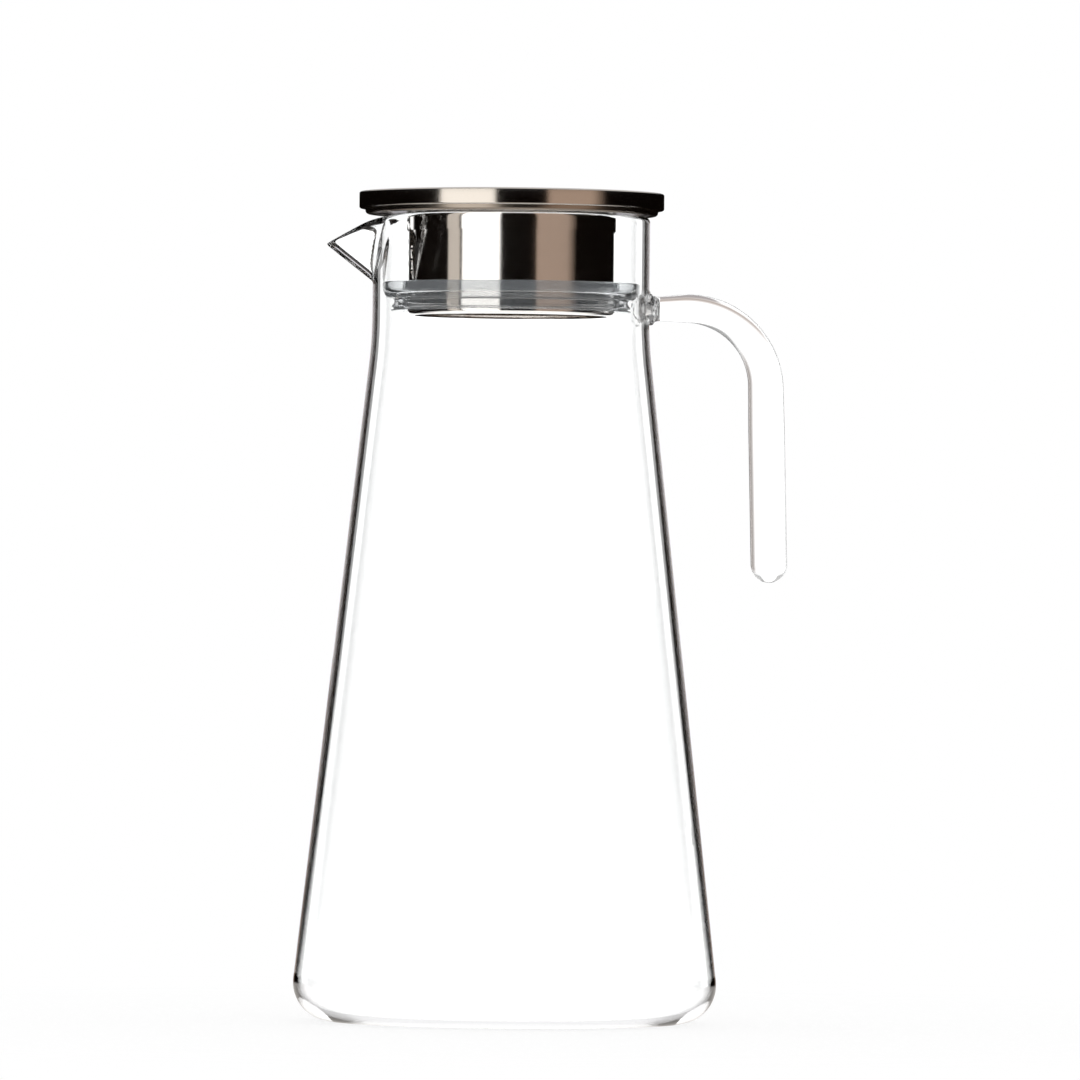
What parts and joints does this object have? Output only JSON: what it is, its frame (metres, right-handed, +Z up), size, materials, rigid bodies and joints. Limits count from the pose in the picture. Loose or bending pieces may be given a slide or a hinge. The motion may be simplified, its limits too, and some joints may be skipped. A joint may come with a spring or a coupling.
{
  "type": "glass pitcher with strainer lid",
  "caption": "Tapered clear glass pitcher with a pulled spout, an open hook handle and a push-in brushed steel lid whose pierced cup strains the drink towards the spout.",
  "frame": {"origin": "centre of the flat base, on the axis of the body", "axes": "+Z up along the axis of the body, +X towards the handle, -X towards the spout"},
  "size_m": [0.1536, 0.1322, 0.2591],
  "materials": {
    "clear_glass": "clear blown borosilicate glass, fire polished",
    "brushed_cap": "stainless steel, brushed round the rim and across the top",
    "drawn_steel": "bright drawn stainless steel with fine turning marks",
    "silicone": "translucent grey white silicone, satin"
  },
  "bodies": {
    "pitcher": {"glass_body": "clear_glass", "glass_handle": "clear_glass"},
    "seal": {"seal_ring": "silicone"},
    "lid": {"lid_cap": "brushed_cap", "lid_pan": "drawn_steel", "strainer_cup": "drawn_steel"}
  },
  "joints": [
    {"name": "lid_lift", "type": "slide", "parent": "pitcher", "child": "seal", "axis": [0, 0, 1], "range_m": [0, 0.06]},
    {"name": "lid_turn", "type": "hinge", "parent": "seal", "child": "lid", "pos_m": [0, 0, 0.2252], "axis": [0, 0, 1], "continuous": true}
  ]
}
